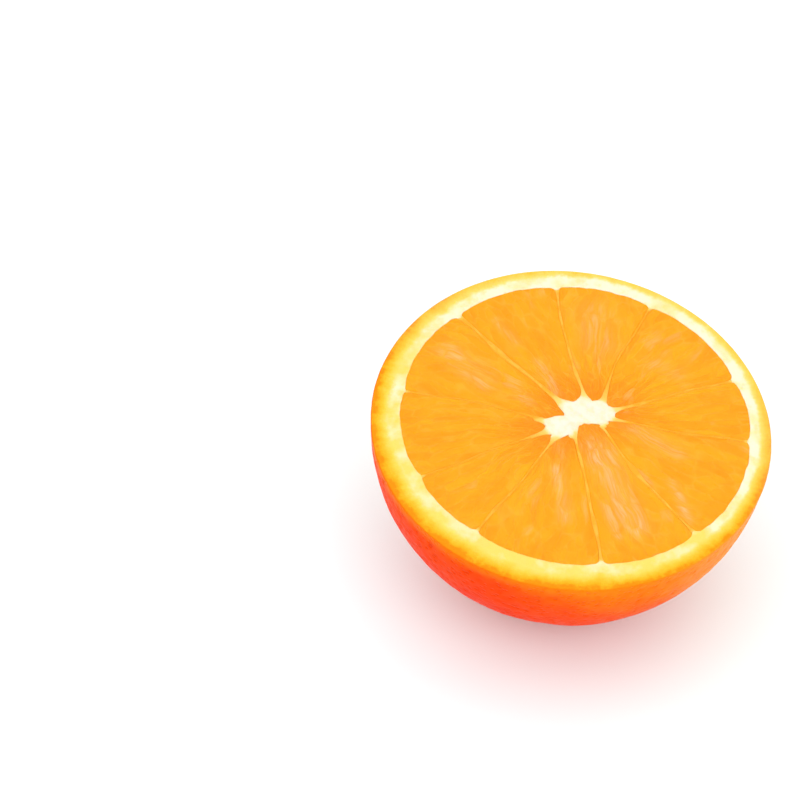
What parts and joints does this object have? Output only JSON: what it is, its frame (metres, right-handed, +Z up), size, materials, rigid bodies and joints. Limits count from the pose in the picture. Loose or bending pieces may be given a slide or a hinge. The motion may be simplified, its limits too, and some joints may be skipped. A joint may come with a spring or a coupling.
{
  "type": "orange half",
  "caption": "Fresh sweet orange cut in half across its core, cut face up, resting on a small flat spot of its rind.",
  "frame": {"origin": "centre of the small flat spot under the fruit, on the surface that it rests on", "axes": "+Z up, away from the surface; the cut face leans about 10 degrees, towards -Y and a little towards +X"},
  "size_m": [0.0758, 0.0756, 0.0451],
  "materials": {
    "pulp": "wet, translucent juice sacs",
    "rind": "waxy, finely pitted with oil glands",
    "pith": "spongy, moist, matt"
  },
  "bodies": {
    "root": {"orange_half": "pulp"}
  },
  "joints": []
}
